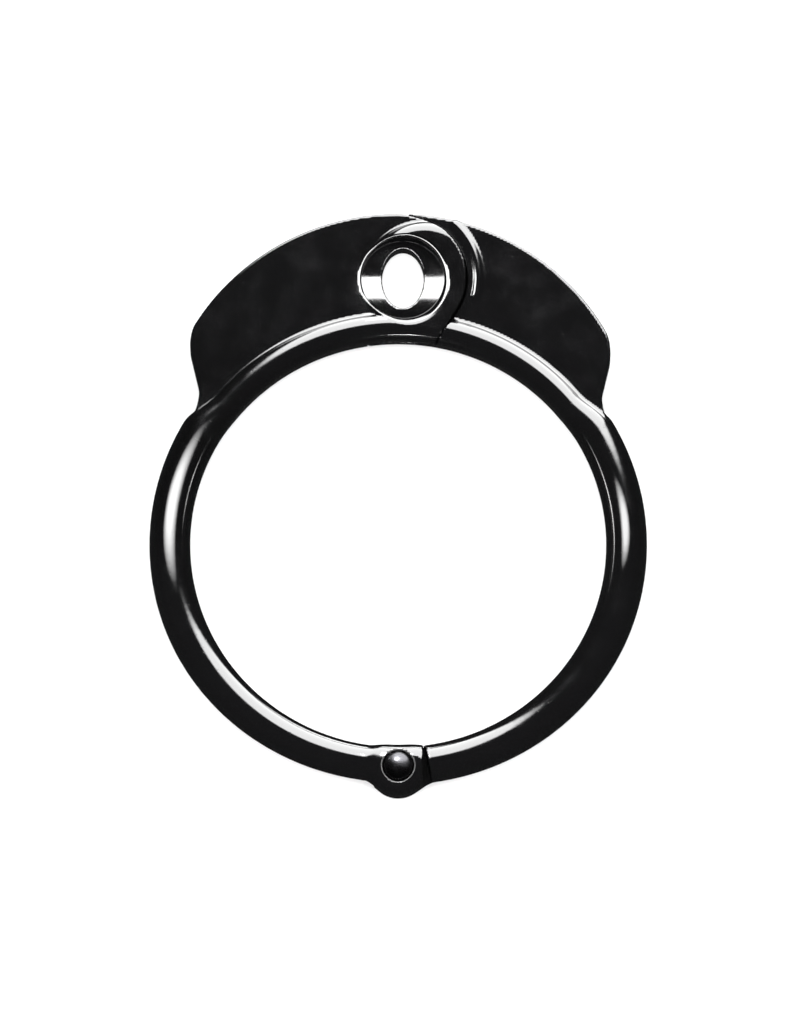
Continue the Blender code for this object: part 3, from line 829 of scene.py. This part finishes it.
def add_studio(settings):
    """A pale floor under a wide soft light, and the cards that the black plating mirrors."""
    world = bpy.data.worlds.new("studio_dark")
    world.use_nodes = True
    sky = world.node_tree.nodes["Background"]
    sky.inputs["Color"].default_value = (1.0, 1.0, 1.0, 1.0)
    sky.inputs["Strength"].default_value = 0.035
    bpy.context.scene.world = world
    bpy.context.scene.view_settings.view_transform = "Standard"

    mesh = bpy.data.meshes.new("floor")
    corners = [(x * FLOOR_HALF, y * FLOOR_HALF, 0.0) for x, y in SQUARE]
    mesh.from_pydata(corners, [], [tuple(range(len(corners)))])
    mesh.materials.append(floor_paper(settings.colours))
    floor = bpy.data.objects.new("floor", mesh)
    bpy.context.scene.collection.objects.link(floor)
    floor.visible_glossy = False

    middle = ring_middle(settings.hinge)

    def hover(across, up, rise):
        """A place over the ring, measured from its middle."""
        return Matrix.Translation(middle + Vector((across, up, rise)) * MM)

    cards = [
        add_card("overhead_light", middle, 0.0, 0.0, 130.0, 130.0, 3.0, 0.2, lights_only=True),
        add_card("far_card", middle, 13.0, 62.5, 72.0, 85.0, 17.0, 0.15),
        add_glow("seat_card", hover(0.7, 41.2, 7.0), 6.4 * MM, 1.7 * MM, 28.0, square=True),
        add_glow("rivet_card", hover(-1.5, -24.0, 15.0), 3.4 * MM, 3.4 * MM, 170.0, 0.6),
        add_glow("left_card", hover(-35.0, 10.0, 20.0), 14.0 * MM, 13.0 * MM, 22.0, 0.6),
        add_glow("right_card", hover(32.0, 6.5, 20.0), 9.0 * MM, 6.5 * MM, 20.0, 0.6),
    ]


# ---------------------------------------------------------------------------------------------
# Operators, panel and registration

def shared_material(name, maker):
    """The finish, made once and shared by every piece that has it."""
    found = bpy.data.materials.get(name)
    return found if found else maker(bpy.context.scene.hinged_ring.colours)


class RING_OT_left_half(bpy.types.Operator):
    """Build the left casting, with the upper layers at the hinge and the lock"""
    bl_idname = "ring.left_half"
    bl_label = "Left Half Ring"

    def execute(self, context):
        surface = shared_material("black_plating", black_plating)
        build_half("left_half_ring", -1.0, context.scene.hinged_ring, surface)
        return {"FINISHED"}


class RING_OT_right_half(bpy.types.Operator):
    """Build the right casting, with the lower layers at the hinge and the lock"""
    bl_idname = "ring.right_half"
    bl_label = "Right Half Ring"

    def execute(self, context):
        surface = shared_material("black_plating", black_plating)
        build_half("right_half_ring", 1.0, context.scene.hinged_ring, surface)
        return {"FINISHED"}


class RING_OT_hinge_rivet(bpy.types.Operator):
    """Turn the domed rivet that joins the halves"""
    bl_idname = "ring.hinge_rivet"
    bl_label = "Hinge Rivet"

    def execute(self, context):
        surface = shared_material("dark_rivet_steel", dark_steel)
        build_rivet(context.scene.hinged_ring, surface)
        return {"FINISHED"}


class RING_OT_studio(bpy.types.Operator):
    """Set the camera, the floor and the lights"""
    bl_idname = "ring.studio"
    bl_label = "Studio"

    def execute(self, context):
        settings = context.scene.hinged_ring
        add_camera(settings.hinge)
        add_studio(settings)
        return {"FINISHED"}


class RING_PT_panel(bpy.types.Panel):
    """Sizes, finishes and steps of the hinged ring"""
    bl_idname = "RING_PT_panel"
    bl_label = "Hinged Locking Ring"
    bl_space_type = "VIEW_3D"
    bl_region_type = "UI"
    bl_category = "Ring"

    def draw(self, context):
        settings = context.scene.hinged_ring
        layout = self.layout
        for group in ("bar", "tab", "lock", "hinge", "colours"):
            box = layout.box()
            box.label(text=group.title())
            values = getattr(settings, group)
            for key in values.__annotations__:
                box.prop(values, key)
        layout.prop(settings, "cell")
        for step in OPERATORS:
            layout.operator(step.bl_idname)


SETTINGS = (RingBarSizes, TabSizes, LockSizes, HingeSizes, FinishColours, RingSettings)
OPERATORS = (RING_OT_left_half, RING_OT_right_half, RING_OT_hinge_rivet, RING_OT_studio)
CLASSES = SETTINGS + OPERATORS + (RING_PT_panel,)


def register():
    for item in CLASSES:
        bpy.utils.register_class(item)
    bpy.types.Scene.hinged_ring = PointerProperty(type=RingSettings)


def unregister():
    del bpy.types.Scene.hinged_ring
    for item in reversed(CLASSES):
        bpy.utils.unregister_class(item)


def main():
    register()
    bpy.ops.ring.left_half()
    bpy.ops.ring.right_half()
    bpy.ops.ring.hinge_rivet()
    bpy.ops.ring.studio()


if __name__ == "__main__":
    main()
